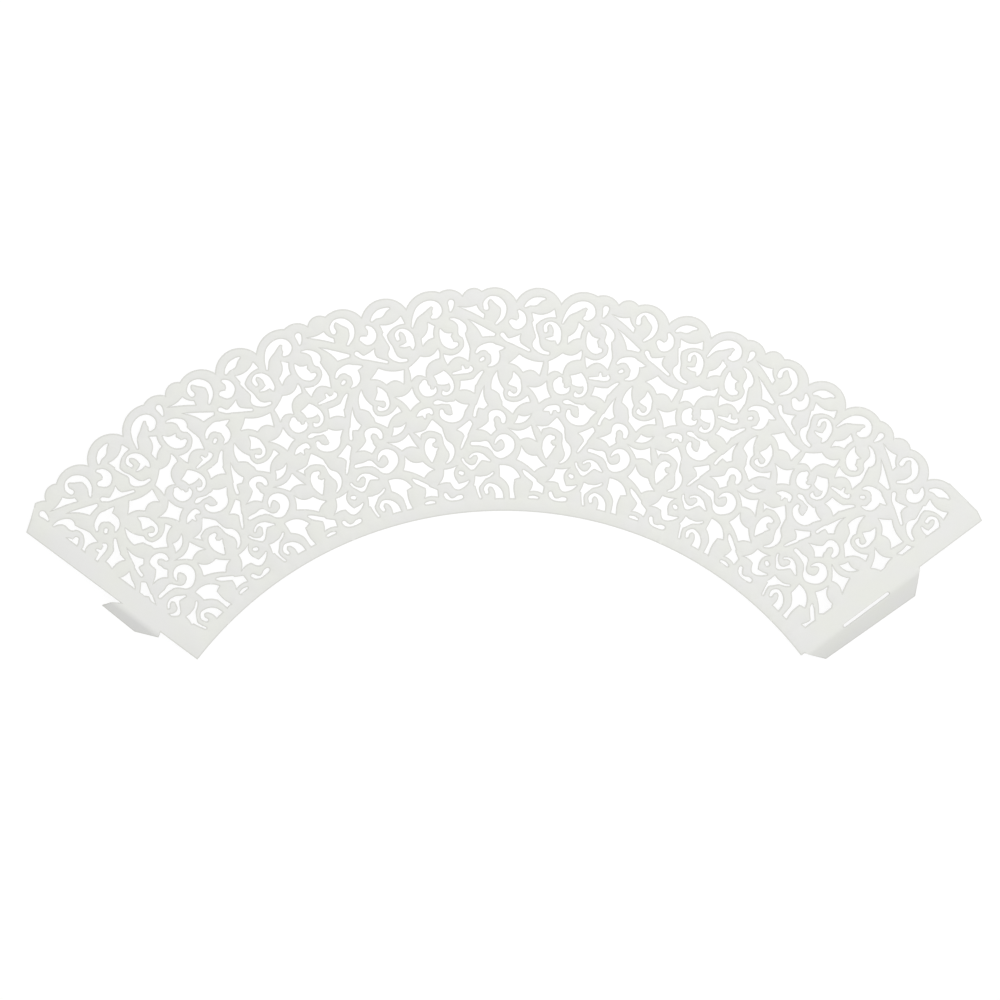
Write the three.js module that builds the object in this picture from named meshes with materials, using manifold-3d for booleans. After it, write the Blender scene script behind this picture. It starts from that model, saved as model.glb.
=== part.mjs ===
// Cupcake wrapper blank: one flat piece of pearl-white card, laser cut into a scroll and leaf lattice.
// It lies on a table, middle down, its two ends risen a little where the tab and the flap are bent under.
// Millimetres. The fan opens along +Y and the table is z = 0. It is drawn round the fan's centre, then
// moved so that the origin lies on the table under the middle of the finished part.
import * as THREE from "three";
import { mergeVertices } from "three/addons/utils/BufferGeometryUtils.js";
import Module from "manifold-3d";

const wasm = await Module();
wasm.setup();

// Sheet
const innerRadius = 87.6;
const thickness = 0.3;
const endAngle = rad(51.8);
const bandWidth = 2.95;
const leftMargin = 4.4;
const rightMargin = 4.7;
const smallestWindow = 1.6;

// Lattice: one drawing repeated round the fan
const pitch = rad(14.8);
const repeatsEachSide = Math.ceil(endAngle / pitch);

// Facets: how far a straight facet may stand off a drawn curve
const facetSag = 0.36;
const edgeSag = 0.2;
const samplesPerSpan = 6;
const arcStep = rad(3.7);
const tinyWidth = 0.1;
const weld = 1e-4;

// Rise of the two ends, along lines that run to the fan's centre
const flatAngle = rad(20);
const endRise = 3.7;
const riseRadius = 104;

// Tab, flap and corners: distances along the end line from the inner edge, and out from that line
const bendRadius = 1.2;
const leftCornerOff = [[48.1, 0.5], [49.3, -2.9], [50.4, -5.6], [51.6, -8], [54.4, 0.5]];
const rightCornerFill = [[46.4, -12], [50.7, -11.2], [51.3, -6.8], [51.9, -2.4], [51.4, 0], [46.4, 0]];
const hingeOverlap = 2;
const clearance = 0.1;
const tabOutline = [[10.5, 0], [10.1, 1.3], [14.8, 4.1], [24.4, 3.6], [23.4, 1.2], [21.7, 0]];
const flapOutline = [[1, 0], [4, 5.1], [29, 6], [33.8, 0]];
const slotStart = 11.8;
const slotEnd = 24.6;
const slotWidth = 0.6;
const slotOffset = 0.4;
const bendSteps = 4;

function rad(degrees) {
  return THREE.MathUtils.degToRad(degrees);
}

// Window swept along a smooth line: each station is x, y and the width there.
// x runs across and y up from the inner edge, in the plane of one repeat.
function sweep(...stations) {
  const line = new THREE.CatmullRomCurve3(
    stations.map(([x, y, width]) => new THREE.Vector3(x, innerRadius + y, width)),
    false,
    "centripetal",
  );
  const count = (stations.length - 1) * samplesPerSpan;
  const left = [];
  const right = [];
  for (let i = 0; i <= count; i += 1) {
    const at = line.getPoint(i / count);
    const slope = line.getTangent(i / count);
    const along = new THREE.Vector2(slope.x, slope.y).normalize();
    const half = Math.max(at.z, tinyWidth) / 2;
    const centre = new THREE.Vector2(at.x, at.y);
    const across = new THREE.Vector2(-along.y, along.x).multiplyScalar(half);
    if (i === 0) {
      left.push(centre.clone().addScaledVector(along, -half));
    }
    left.push(centre.clone().add(across));
    right.push(centre.clone().sub(across));
    if (i === count) {
      left.push(centre.clone().addScaledVector(along, half));
    }
  }
  return left.concat(right.reverse());
}

// Window between corners: each corner is x, y and how far the next side bows into the window
function bowed(...corners) {
  const points = [];
  corners.forEach(([x, y, bow], i) => {
    const [nextX, nextY] = corners[(i + 1) % corners.length];
    const from = new THREE.Vector2(x, innerRadius + y);
    const to = new THREE.Vector2(nextX, innerRadius + nextY);
    const inward = new THREE.Vector2(to.y - from.y, from.x - to.x).normalize();
    const control = from.clone().add(to).multiplyScalar(0.5).addScaledVector(inward, 2 * bow);
    const side = new THREE.QuadraticBezierCurve(from, control, to);
    points.push(...side.getPoints(samplesPerSpan).slice(0, samplesPerSpan));
  });
  return points;
}

// Windows of one repeat, from the scalloped edge down. Corners run clockwise.
const windows = [
  // Hook round the curl of the second lobe
  sweep([-4.2, 46.4, 1.1], [-4.35, 47.5, 0.9], [-3.4, 48.65, 0.55], [-1.7, 48.05, 1.55],
    [-0.3, 46.5, 1.25], [-0.55, 44.4, 0.95], [-1.85, 42.8, 0.4]),
  // Arched gap of the third lobe and the hook between the two lobes
  sweep([4.7, 46.75, 0.5], [5.5, 47.4, 1.1], [6.8, 47.8, 1.75], [8.1, 48.3, 0.9], [8.95, 48.4, 0.35]),
  sweep([3.25, 45.6, 0.6], [3.9, 44.7, 1.3], [3.85, 43.3, 1.95], [2.8, 42.55, 2.05], [1.6, 43.2, 1.2]),
  // Gull over the round scroll, with its long leg
  bowed([6.2, 45.2, 0.75], [11.15, 45.95, 0], [11.55, 44.2, 0.75], [6.8, 42.3, 0]),
  sweep([6.65, 43, 0.8], [6.9, 41.4, 0.4], [7.4, 39.7, 0.6], [7.15, 38.1, 1.6], [7.7, 37.1, 1.2],
    [8.7, 36.35, 0.85], [9.9, 36.05, 0.6]),
  sweep([9.3, 41.2, 0.75], [9.25, 42.2, 0.8], [10.1, 42.95, 0.55], [11.15, 42.5, 1], [11.85, 41.3, 1.5],
    [11.9, 40.1, 1.7], [12.1, 39, 1.1], [12, 38.3, 0.4]),
  sweep([11.6, 39.6, 1.2], [10.4, 39.35, 0.7], [9.4, 39.45, 0.2]),
  // Ring round the curl of the widest lobe
  sweep([13.1, 43, 0.3], [14.2, 45, 0.95], [15.7, 46.25, 1.9], [17.2, 46.95, 1.75], [18.5, 47.05, 1.3],
    [19.4, 46.3, 1.5], [19.35, 45.1, 2.1], [18.7, 44.25, 1.6], [18.1, 44, 0.8]),
  // Bud of the first lobe
  sweep([-12.1, 47.5, 1.35], [-12.05, 46.6, 0.95], [-12.2, 45.7, 0.4]),
  // Slivers beside the upper stem
  bowed([-10.3, 46.6, 0.35], [-6.4, 46.95, 0.25], [-4.65, 44.95, 0], [-4.7, 44, 0.15]),
  bowed([-8.1, 43.7, -0.05], [-2.05, 40.5, 0], [-2.3, 40, 0.05], [-4.95, 39.85, 0.35]),
  sweep([-0.45, 40.3, 0.95], [0.6, 39.2, 0.75], [2, 38.75, 1], [3.2, 38.1, 0.9], [4.4, 37.4, 0.65],
    [5.6, 36.75, 0.5]),
  bowed([1.1, 39.45, 0.1], [3.6, 40.35, 0.4], [4, 37.9, 0], [1.4, 38.6, 0]),
  // Sickle behind the left leaf, with its foot
  sweep([21.8, 42.6, 0.25], [22.7, 42.15, 0.65], [23.6, 41.1, 1.2], [23.9, 39.9, 1.85], [23.5, 38.8, 1.5],
    [23.75, 37.9, 0.7], [23.85, 37, 0.6], [23.8, 35.9, 1], [23.6, 35, 1.4]),
  bowed([18.35, 35.2, 1.15], [23.4, 36, 0], [24.35, 35, 0], [23.4, 32.4, 1.35], [18.7, 32.75, -0.1]),
  // Leaf gap and crescent of the widest lobe
  bowed([16.7, 43, 0], [17.9, 41.9, 0.2], [17.1, 39.5, 0.35], [14.35, 38.3, 0], [14.4, 39.85, 0.6]),
  sweep([19, 40.8, 0.3], [19.15, 39.7, 1.3], [19.6, 38.6, 2.3], [20, 37.6, 2.3], [20.7, 36.8, 1.8],
    [21.6, 36.7, 1]),
  bowed([19.3, 40.3, 0.2], [21.35, 39.35, 0.1], [20.6, 38.2, 0], [19, 38.5, 0]),
  // Long star under the main stem
  bowed([10, 34.2, 0.15], [13.15, 36.05, 0.85], [17.4, 36.7, -0.2], [17.15, 34.6, 1.2], [13.2, 31.3, 0.8],
    [9.9, 31.3, 0.15]),
  bowed([1.2, 33.9, 0.1], [3.4, 35.8, 0.5], [8.8, 34.05, 0], [8, 31.1, 0.85], [4.3, 31.85, 0.45]),
  // Arch over the curl at the left, and its eye
  sweep([-6.2, 36.3, 0.5], [-5.6, 37.05, 0.9], [-4.4, 37.5, 1.4], [-2.9, 37.2, 2.4], [-2.05, 35.9, 1.9],
    [-2.05, 34.6, 1.7], [-2.6, 33.65, 0.9], [-3.5, 33.2, 0.25]),
  sweep([-2.6, 37.3, 1.8], [-1.1, 37.25, 1.1], [-0.1, 37.3, 0.2]),
  sweep([-5.2, 34.55, 0.6], [-4.8, 34.85, 0.75]),
  // Drop round the middle curl
  sweep([2.2, 31.7, 0.2], [2.6, 30.5, 1.5], [2.8, 29.5, 2.1], [3.4, 28.5, 1.05], [3.45, 27.5, 0.75],
    [2.9, 26.7, 0.65], [2.1, 26.55, 0.65], [1.4, 26.9, 0.95], [1.3, 27.3, 0.5]),
  bowed([0.95, 29.1, 0], [2, 30.7, 0], [3.4, 29.5, 0], [3.1, 28.4, -0.1]),
  // Star, crescent and ring in the middle
  bowed([5.5, 28.5, 0.7], [9.6, 29.6, 0.3], [10.55, 26.1, 0.2], [8, 24.75, 0.35]),
  sweep([12.6, 30.1, 1.2], [12.3, 29.2, 2.3], [12.6, 28.05, 2.3], [13.5, 27.5, 1.5], [14.4, 27.7, 0.9],
    [14.75, 28.3, 0.25]),
  bowed([15, 31, 0.1], [17.4, 31.6, -0.15], [18.6, 29.6, 0], [17.7, 28.5, -0.2], [15.4, 29.05, 0.15]),
  sweep([18, 29.9, 1], [18.4, 28.7, 0.9], [18.4, 27.5, 0.75], [17.8, 26.65, 0.65], [17, 26.35, 0.65],
    [16.3, 26.6, 0.9], [16.2, 27.1, 0.35]),
  // Deep hook at the right, with its long tip
  sweep([14.75, 22.8, 0.8], [14.75, 21.9, 1.2], [15.5, 20.95, 1.4], [16.7, 20.5, 1.7], [17.9, 20.9, 2.4],
    [18.4, 22.1, 2.7], [17.9, 23.3, 2], [17.1, 24.05, 0.6]),
  bowed([18.3, 24.5, 0.35], [21, 22.7, 0.05], [18.6, 20.2, 0], [17.3, 22.5, 0]),
  sweep([17.2, 24.1, 0.55], [16.2, 24.3, 0.4], [15.2, 24.75, 0.6], [14.4, 24.95, 1], [13.8, 25, 0.7]),
  // Flag and swan beside the left stem
  bowed([-9.75, 29.8, 0.15], [-6.4, 30.4, 0], [-6.65, 27.1, 0.4], [-9.95, 27.75, 0.1]),
  sweep([-6.7, 29.4, 1.2], [-5.95, 30.6, 0.9], [-5.25, 31.5, 0.65], [-4.9, 31.9, 0.4]),
  sweep([-11.4, 31.45, 0.4], [-10.3, 31.7, 0.65], [-9.1, 31.95, 0.9], [-8.1, 32.1, 0.9], [-7.45, 32.5, 0.9],
    [-7.55, 32.95, 0.5]),
  sweep([-9.1, 32.2, 0.8], [-9.35, 33.1, 0.4]),
  // Sail and the star that hangs from it
  bowed([-1.55, 32, 0.4], [0, 27.9, 0.1], [-0.2, 26, 0.25], [-2.75, 28, -0.45]),
  sweep([-0.6, 27, 0.8], [-0.25, 25.9, 0.7], [0.3, 25, 0.8]),
  bowed([-0.3, 25.9, 1.2], [5.4, 26.4, 0], [5.95, 25.05, 0.7], [2.1, 22.35, 0.05], [-0.2, 24.2, 0]),
  // Sliver at the left stem
  bowed([-4.5, 28.5, 0.5], [-3.6, 24.3, 0], [-4.5, 23.45, 0.1], [-6.2, 23.7, -0.1]),
  sweep([-5.95, 24.1, 0.7], [-6.35, 22.9, 0.6], [-6.5, 21.9, 0.6]),
  // Cane-shaped gap
  sweep([0, 20.6, 0.9], [-0.05, 21.4, 1.15], [-0.6, 22.15, 1.3], [-1.55, 22.5, 1.3], [-2.5, 22.1, 1.6],
    [-2.75, 21, 1.05], [-2.7, 20, 1.4]),
  bowed([-3.1, 20.8, 0], [-2.2, 20.4, 0.15], [-1.6, 18.7, 0], [-2.8, 17.5, 0.45], [-5.9, 18.75, 0.25]),
  // Boat and the gull under it
  bowed([2.55, 20.15, 0.15], [3.4, 22, 0.4], [6.2, 22.15, -0.75]),
  bowed([1.2, 18.95, 0.85], [6.25, 19.6, 0.1], [7.5, 16.1, 0.6], [3.9, 16.4, 0.2]),
  // Cap over the bean, and the stroke down its right side
  bowed([7.6, 19.55, 0.05], [9.6, 19.35, 0.25], [8.6, 18, 0.1]),
  sweep([8.9, 19.15, 0.5], [9.9, 19.3, 0.35], [10.9, 19.55, 0.5]),
  bowed([10, 19.35, 0], [12.15, 21.4, -0.1], [13.85, 18.9, 0], [13.8, 17.2, 0.5]),
  sweep([13.65, 17.8, 0.5], [13.75, 16.6, 0.45], [13.9, 15.6, 0.95], [14.45, 14.5, 1.55], [14.7, 13.4, 1.3],
    [14.4, 12.3, 0.9], [13.8, 11.5, 0.6], [13, 11, 0.3]),
  sweep([9.2, 23.1, 0.3], [10.1, 23.45, 1.1], [11.1, 23.65, 1.2], [12.1, 23.6, 1.1], [12.45, 22.95, 0.65]),
  sweep([10.75, 23.3, 1], [10.75, 22.3, 0.3]),
  // Bean
  sweep([11.3, 16.8, 0.95], [10.5, 16.7, 1.5], [9.9, 15.7, 1.7], [10.1, 14.4, 2.4], [9.95, 13.2, 1.5],
    [9.85, 12.2, 0.35]),
  bowed([9.3, 15.2, 0], [11.9, 14.9, 0.05], [10.2, 12.6, 0]),
  // Long star at the right of the lower scroll
  bowed([4.2, 14.75, 0.75], [7.7, 12.65, 0.15], [9.75, 10.3, 0.3], [7.2, 9.05, 0.25], [3.15, 11.9, 0.2]),
  // Arrowhead beside the left stem
  bowed([-10.4, 18.65, 0.05], [-7.65, 20.8, -0.05], [-7, 20, 0.05], [-8.5, 16.3, 0.55]),
  sweep([-8.35, 17.2, 0.65], [-8.85, 16, 0.55], [-9.3, 14.8, 0.45], [-9.45, 14.45, 0.25]),
  // Lower scroll with the bar behind it
  sweep([-1.8, 15.55, 0.25], [-1.25, 16.5, 0.75], [-0.45, 17, 1.05], [0.55, 16.75, 1.65], [1.4, 15.7, 2.15],
    [1.4, 14.5, 2.1], [0.6, 13.45, 1.75], [-0.5, 12.95, 1.65], [-1.5, 13.15, 1], [-2.3, 13.85, 0.4],
    [-3.1, 14.8, 0.7], [-3.9, 15.4, 1.3], [-5.2, 15.45, 0.8], [-6.2, 15.5, 0.8], [-6.95, 15.5, 0.75]),
  // Wave under the bar
  sweep([-7.45, 12.35, 0.4], [-6.8, 12.95, 0.45], [-5.9, 13.15, 0.6], [-4.9, 12.5, 1.35], [-3.9, 12, 0.8],
    [-3, 11.55, 0.3]),
  sweep([-9.1, 11.9, 0.4], [-8.7, 11.2, 0.4], [-7.9, 10.5, 0.5], [-6.95, 10, 1], [-6, 10.6, 0.5],
    [-5.5, 11.4, 0.65], [-5, 12.2, 1.1]),
  // Foot: arch, gull, mushroom, slivers and hooks over the band
  sweep([-3.5, 4.2, 0.65], [-3.75, 5.1, 0.85], [-3.1, 5.95, 0.75], [-2.2, 5.85, 0.75], [-1.4, 5.25, 1.15],
    [-0.8, 4.2, 1.55], [-0.65, 2.9, 1.8]),
  bowed([-6.15, 8.05, 0.1], [-3.6, 7.85, 0], [-5.3, 5.5, 0], [-6.45, 5.9, 0.1]),
  sweep([-4.7, 7.5, 0.9], [-3.5, 7.85, 0.5], [-2.7, 8.3, 0.45], [-2.2, 8.75, 0.35]),
  sweep([-5.7, 6, 0.9], [-5.6, 5, 0.5], [-5.35, 4.1, 0.4], [-4.95, 3.1, 0.4]),
  bowed([-0.75, 10.5, -1.0], [3.95, 7.7, 0.05], [2.5, 7.2, 0], [1.6, 5.4, 0.3], [-0.6, 7.9, 0.05]),
  sweep([1.9, 7, 1.5], [2, 5.6, 0.95], [2.1, 4.4, 0.85], [2.3, 2.9, 1.1]),
  sweep([4.7, 9.25, 0.35], [5.3, 8.6, 0.85], [6.3, 7.75, 0.9], [7.3, 6.9, 0.9]),
  bowed([6.9, 7.4, 0], [9.35, 5.5, 0], [9.1, 4, 0.3], [6.25, 4.5, 0.3]),
  sweep([6.2, 3.15, 0.5], [7.1, 3.15, 0.65], [8, 2.95, 0.4]),
  bowed([10, 6.7, 0.45], [12, 9.65, 0.2], [15, 9.75, 0.6], [14, 6.7, 0], [12.9, 6.3, 0.3]),
  sweep([13.2, 7.2, 1.2], [13.55, 5.95, 1.4], [14, 5.1, 1.35], [15, 5.1, 1.1], [16, 5.35, 0.65],
    [16.7, 5.7, 0.25]),
  sweep([15.35, 8.05, 0.75], [15.7, 7.8, 0.85]),
  sweep([10.9, 4, 0.8], [11.15, 3.3, 0.8], [11.8, 2.65, 0.5], [12.7, 2.5, 0.6], [13.5, 2.6, 1], [14.15, 2.6, 0.9]),
];

// Lobes of the scalloped edge: start, top and end of each arc, x and y as above
const lobes = [
  [[-14.7, 49.85], [-12.4, 50.5]],
  [[-9.55, 49.2], [-7.1, 50.85]],
  [[-5.2, 50.2], [-2, 51]],
  [[2.6, 48.05], [7.4, 50.9]],
  [[12.75, 47.4], [16.9, 49.9]],
];

// Keeps a point of an outline only where leaving it out would move the line more than the facet sag
function thin(points, sag) {
  const keep = new Array(points.length).fill(false);
  const far = points.reduce((best, p, i) => (
    p.distanceTo(points[0]) > points[best].distanceTo(points[0]) ? i : best), 0);
  const split = (from, to) => {
    const end = points[to % points.length];
    const chord = new THREE.Line3(
      new THREE.Vector3(points[from].x, points[from].y, 0),
      new THREE.Vector3(end.x, end.y, 0),
    );
    let worst = from;
    let most = 0;
    for (let i = from + 1; i < to; i += 1) {
      const p = new THREE.Vector3(points[i].x, points[i].y, 0);
      const off = chord.closestPointToPoint(p, true, new THREE.Vector3()).distanceTo(p);
      if (off > most) {
        most = off;
        worst = i;
      }
    }
    if (most > sag) {
      keep[worst] = true;
      split(from, worst);
      split(worst, to);
    }
  };
  keep[0] = true;
  keep[far] = true;
  split(0, far);
  split(far, points.length);
  return points.filter((_, i) => keep[i]);
}

// Solid of an outline between two heights
function prism(points, bottom, top) {
  const shape = new THREE.Shape(points);
  const geometry = new THREE.ExtrudeGeometry(shape, { depth: top - bottom, bevelEnabled: false });
  geometry.translate(0, 0, bottom);
  return solid(geometry);
}

function solid(geometry) {
  const plain = geometry.clone();
  plain.deleteAttribute("normal");
  plain.deleteAttribute("uv");
  const welded = mergeVertices(plain, weld);
  return new wasm.Manifold(new wasm.Mesh({
    numProp: 3,
    vertProperties: welded.getAttribute("position").array,
    triVerts: welded.getIndex().array,
  }));
}

// Arc through three points, as points on it without the last one
function arcThrough(a, b, c, sag) {
  const turn = 2 * (a.x * (b.y - c.y) + b.x * (c.y - a.y) + c.x * (a.y - b.y));
  const [la, lb, lc] = [a.lengthSq(), b.lengthSq(), c.lengthSq()];
  const centre = new THREE.Vector2(
    (la * (b.y - c.y) + lb * (c.y - a.y) + lc * (a.y - b.y)) / turn,
    (la * (c.x - b.x) + lb * (a.x - c.x) + lc * (b.x - a.x)) / turn,
  );
  const radius = centre.distanceTo(a);
  const start = Math.atan2(a.y - centre.y, a.x - centre.x);
  let sweepAngle = start - Math.atan2(c.y - centre.y, c.x - centre.x);
  sweepAngle = (sweepAngle + 4 * Math.PI) % (2 * Math.PI);
  const count = Math.ceil(sweepAngle / (2 * Math.acos(1 - sag / radius)));
  return Array.from({ length: count }, (_, i) => {
    const angle = start - (sweepAngle * i) / count;
    return new THREE.Vector2(centre.x + radius * Math.cos(angle), centre.y + radius * Math.sin(angle));
  });
}

// Point at an angle from +Y, clockwise, and a distance from the fan's centre
function polar(angle, radius) {
  return new THREE.Vector2(radius * Math.sin(angle), radius * Math.cos(angle));
}

// Point beside an end line: distance along it from the inner edge, and out from it
function besideEnd(side, along, out) {
  const point = polar(side * endAngle, innerRadius + along);
  point.x += side * out * Math.cos(endAngle);
  point.y -= out * Math.sin(endAngle);
  return point;
}

function turned(point, angle) {
  return point.clone().rotateAround(new THREE.Vector2(), -angle);
}

// Scalloped edge: the lobes of every repeat, one after the other
const edge = [];
for (let k = -repeatsEachSide; k <= repeatsEachSide; k += 1) {
  const points = lobes.flat().map(([x, y]) => turned(new THREE.Vector2(x, innerRadius + y), k * pitch));
  points.push(turned(new THREE.Vector2(lobes[0][0][0], innerRadius + lobes[0][0][1]), (k + 1) * pitch));
  for (let i = 0; i + 2 < points.length; i += 2) {
    edge.push(...arcThrough(points[i], points[i + 1], points[i + 2], edgeSag));
  }
}
const disc = prism(edge.concat([new THREE.Vector2()]), 0, thickness);

// Sector between two angles and two radii
function sector(from, to, inner, outer, bottom, top) {
  const steps = Math.ceil((to - from) / arcStep);
  const points = [];
  for (let i = 0; i <= steps; i += 1) {
    points.push(polar(from + ((to - from) * i) / steps, inner));
  }
  for (let i = steps; i >= 0; i -= 1) {
    points.push(polar(from + ((to - from) * i) / steps, outer));
  }
  return prism(points.reverse(), bottom, top);
}

const beyond = 200;
const over = 1;
const cornerPrism = (side, outline, bottom, top) => prism(
  outline.map(([along, out]) => besideEnd(side, along, out)), bottom, top);
const blank = disc
  .add(cornerPrism(1, rightCornerFill, 0, thickness))
  .subtract(cornerPrism(-1, leftCornerOff, -over, thickness + over))
  .intersect(sector(-endAngle, endAngle, innerRadius, beyond, -over, thickness + over));

// Field of the lattice: inside the two margins and above the band
const fieldSide = (side, margin) => [besideEnd(side, -innerRadius / 2, -margin), besideEnd(side, beyond, -margin)];
const [leftFoot, leftHead] = fieldSide(-1, leftMargin);
const [rightFoot, rightHead] = fieldSide(1, rightMargin);
const field = prism([leftFoot, leftHead, new THREE.Vector2(0, beyond), rightHead, rightFoot], -over, thickness + over)
  .intersect(sector(-endAngle, endAngle, innerRadius + bandWidth, beyond, -2 * over, thickness + 2 * over));

// Outlines of a prism's lower face, each as a loop of points
function lowerOutlines(body, bottom) {
  const { vertProperties, triVerts } = body.getMesh();
  const low = (v) => Math.abs(vertProperties[3 * v + 2] - bottom) < weld;
  const next = new Map();
  const edges = new Set();
  for (let t = 0; t < triVerts.length; t += 3) {
    const corners = [triVerts[t], triVerts[t + 1], triVerts[t + 2]];
    if (corners.every(low)) {
      corners.forEach((v, i) => edges.add(`${corners[(i + 1) % 3]} ${v}`));
    }
  }
  edges.forEach((edge) => {
    const [from, to] = edge.split(" ").map(Number);
    if (!edges.has(`${to} ${from}`)) {
      next.set(from, to);
    }
  });
  const loops = [];
  while (next.size > 0) {
    const [start] = next.keys();
    const loop = [];
    for (let v = start; next.has(v);) {
      const to = next.get(v);
      next.delete(v);
      loop.push(new THREE.Vector2(vertProperties[3 * v], vertProperties[3 * v + 1]));
      v = to;
    }
    loops.push(loop);
  }
  return loops;
}

// The cut-outs of one repeat, joined where they meet, then copied round the fan
const joined = wasm.Manifold.union(windows.map((outline) => prism(outline, -over, thickness + over)));
const outlines = lowerOutlines(joined, -over).map((outline) => thin(outline, facetSag));
const depth = thickness + 2 * over;
const cuts = [];
for (let k = -repeatsEachSide; k <= repeatsEachSide; k += 1) {
  for (const outline of outlines) {
    const whole = prism(outline.map((p) => turned(p, k * pitch)), -over, thickness + over);
    const inside = whole.intersect(field);
    const clipped = inside.volume() < whole.volume() - weld;
    const pieces = clipped ? inside.decompose() : [whole];
    cuts.push(...pieces.filter((piece) => !clipped || piece.volume() > smallestWindow * depth));
  }
}
const lattice = blank.subtract(wasm.Manifold.union(cuts));

// Height of the card over the table: nothing in the middle, rising along lines through the fan's centre
function rise(x, y) {
  const past = Math.max(0, Math.abs(Math.atan2(x, y)) - flatAngle);
  return (endRise * (Math.hypot(x, y) / riseRadius) * past ** 2) / (endAngle - flatAngle) ** 2;
}

// Bend that brings a point at this distance out from the end line down to the table
function bendTo(side, along, out) {
  const point = besideEnd(side, along, out);
  const drop = rise(point.x, point.y) - clearance;
  const root = Math.sqrt(out ** 2 - (2 * bendRadius - drop) * drop);
  return 2 * Math.atan(drop / (out + root));
}

// Tab or flap: a strip bent down along the end line, cut to its outline as seen from above
function bent(side, outline) {
  const outer = outline.filter(([, out]) => out > 2 * bendRadius);
  const angle = Math.min(...outer.map(([along, out]) => bendTo(side, along, out)));
  const start = innerRadius + Math.min(...outline.map(([along]) => along)) - over;
  const end = innerRadius + Math.max(...outline.map(([along]) => along)) + over;
  const reach = Math.max(...outline.map(([, out]) => out)) / Math.cos(angle) + over;
  const face = (radius) => {
    const points = [];
    for (let i = 0; i <= bendSteps; i += 1) {
      const turn = (angle * i) / bendSteps;
      points.push(new THREE.Vector2(radius * Math.sin(turn), radius * Math.cos(turn) - bendRadius));
    }
    const last = points[bendSteps];
    points.push(new THREE.Vector2(last.x + reach * Math.cos(angle), last.y - reach * Math.sin(angle)));
    return points;
  };
  const profile = [
    new THREE.Vector2(-hingeOverlap, 0), ...face(bendRadius),
    ...face(bendRadius + thickness).reverse(), new THREE.Vector2(-hingeOverlap, thickness),
  ];
  const strip = new THREE.ExtrudeGeometry(new THREE.Shape(profile), { depth: end - start, bevelEnabled: false });
  const outward = new THREE.Vector3(side * Math.cos(endAngle), -Math.sin(endAngle), 0);
  const up = new THREE.Vector3(0, 0, 1);
  const across = outward.clone().cross(up);
  strip.translate(0, 0, side > 0 ? -end : start);
  strip.applyMatrix4(new THREE.Matrix4().makeBasis(outward, up, across));
  const corners = outline.map(([along, out]) => besideEnd(side, along, out));
  corners.push(besideEnd(side, outline.at(-1)[0], -hingeOverlap / 2));
  corners.push(besideEnd(side, outline[0][0], -hingeOverlap / 2));
  return solid(strip).intersect(prism(corners, -2 * reach, thickness + over));
}

// Slot that takes the tab: a straight cut with round ends, just outside the flap's bend
function slot() {
  const points = [];
  const middle = slotOffset + slotWidth / 2;
  for (const [along, start] of [[slotEnd - slotWidth / 2, 0], [slotStart + slotWidth / 2, Math.PI]]) {
    for (let i = 0; i <= bendSteps; i += 1) {
      const turn = start + (Math.PI * i) / bendSteps;
      points.push(besideEnd(1, along + (Math.sin(turn) * slotWidth) / 2, middle + (Math.cos(turn) * slotWidth) / 2));
    }
  }
  return prism(points, -beyond, beyond);
}

const folded = lattice.add(bent(-1, tabOutline)).add(bent(1, flapOutline)).subtract(slot());
const { vertProperties, triVerts } = folded.getMesh();
const positions = Float32Array.from(vertProperties);
for (let i = 0; i < positions.length; i += 3) {
  positions[i + 2] += rise(positions[i], positions[i + 1]);
}
const geometry = new THREE.BufferGeometry();
geometry.setAttribute("position", new THREE.BufferAttribute(positions, 3));
geometry.setIndex(new THREE.BufferAttribute(Uint32Array.from(triVerts), 1));
geometry.computeBoundingBox();
const middle = geometry.boundingBox.getCenter(new THREE.Vector3());
geometry.translate(-middle.x, -middle.y, 0);
geometry.computeVertexNormals();

const card = new THREE.Mesh(geometry, new THREE.MeshStandardMaterial({
  color: 0xe9eae6,
  roughness: 0.62,
  metalness: 0,
}));
card.name = "wrapper";

const part = new THREE.Group();
part.name = "cupcake_wrapper_blank";
part.add(card);
export default part;
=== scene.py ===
# %% [markdown]
# A cupcake wrapper, still flat, as it comes out of its pack: one sheet of pearl-white card, cut into a
# lattice of scrolls and leaves. The ends carry a tab and a slotted flap, creased and bent under.
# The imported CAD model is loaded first. It gives the part's place and size, and this script then makes
# the same sheet again with finer curves and soft edges, gives it a card finish, and lights it.

# %% Load the frame
import math

import bmesh
import bpy
from mathutils import Matrix, Vector
from mathutils.geometry import delaunay_2d_cdt, interpolate_bezier


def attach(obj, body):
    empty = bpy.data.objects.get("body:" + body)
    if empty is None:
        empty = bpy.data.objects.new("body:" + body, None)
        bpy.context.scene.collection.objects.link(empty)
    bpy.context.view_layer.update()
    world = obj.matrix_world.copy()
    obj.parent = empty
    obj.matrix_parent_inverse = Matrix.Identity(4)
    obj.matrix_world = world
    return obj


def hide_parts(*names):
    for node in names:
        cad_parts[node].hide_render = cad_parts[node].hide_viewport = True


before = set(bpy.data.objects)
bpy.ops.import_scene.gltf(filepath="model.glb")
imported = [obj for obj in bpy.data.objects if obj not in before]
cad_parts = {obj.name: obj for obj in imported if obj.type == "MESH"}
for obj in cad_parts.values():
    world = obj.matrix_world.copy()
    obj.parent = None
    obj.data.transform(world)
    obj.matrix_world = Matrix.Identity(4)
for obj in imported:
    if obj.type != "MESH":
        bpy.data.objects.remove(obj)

# %% [markdown]
# A fresh Blender file holds a cube, a lamp and a camera. They go, so that only the part, its floor and
# its own lamps are in the picture. Objects are picked by name here, because an operator that deletes
# "everything" would take the frame with it.

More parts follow.
